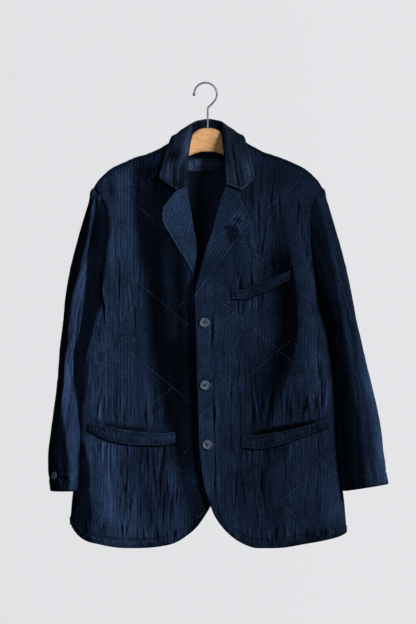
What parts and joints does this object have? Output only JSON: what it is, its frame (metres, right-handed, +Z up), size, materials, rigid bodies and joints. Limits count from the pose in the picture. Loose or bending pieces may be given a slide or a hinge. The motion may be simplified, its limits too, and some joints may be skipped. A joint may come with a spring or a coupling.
{
  "type": "patched boro jacket on a wooden hanger",
  "caption": "Quilted indigo patchwork jacket with notched lapels, welt pockets and a cutaway front, hung flat on a contoured wooden hanger with a steel hook.",
  "frame": {"origin": "inner top of the hook's arch, where a rail carries the hanger", "axes": "+Z up, -Y to the jacket's front, +X to the wearer's left"},
  "size_m": [0.6811, 0.1919, 0.9357],
  "materials": {
    "cloth": "deep indigo cotton quilted with vertical running-stitch ribs and a pale diagonal lattice of stitches",
    "inner_cloth": "plain dark indigo cotton",
    "label": "bare woven tape",
    "button": "smoky blue-grey, softly polished",
    "wood": "pale beech with a satin clear coat",
    "steel": "plated steel wire"
  },
  "bodies": {
    "root": {"front_left": "cloth", "front_right": "cloth", "back": "cloth", "sleeve_left_upper": "cloth", "sleeve_left_under": "cloth", "sleeve_right_upper": "cloth", "sleeve_right_under": "cloth", "collar": "cloth", "lapel_left": "cloth", "lapel_right": "cloth", "hip_welt_left": "cloth", "hip_welt_right": "cloth", "chest_welt": "cloth", "collar_stand": "inner_cloth", "neck_facing": "inner_cloth", "neck_label": "label", "front_button_1": "button", "front_button_2": "button", "front_button_3": "button", "cuff_button_left": "button", "cuff_button_right": "button", "hanger": "wood", "hook": "steel"}
  },
  "joints": []
}
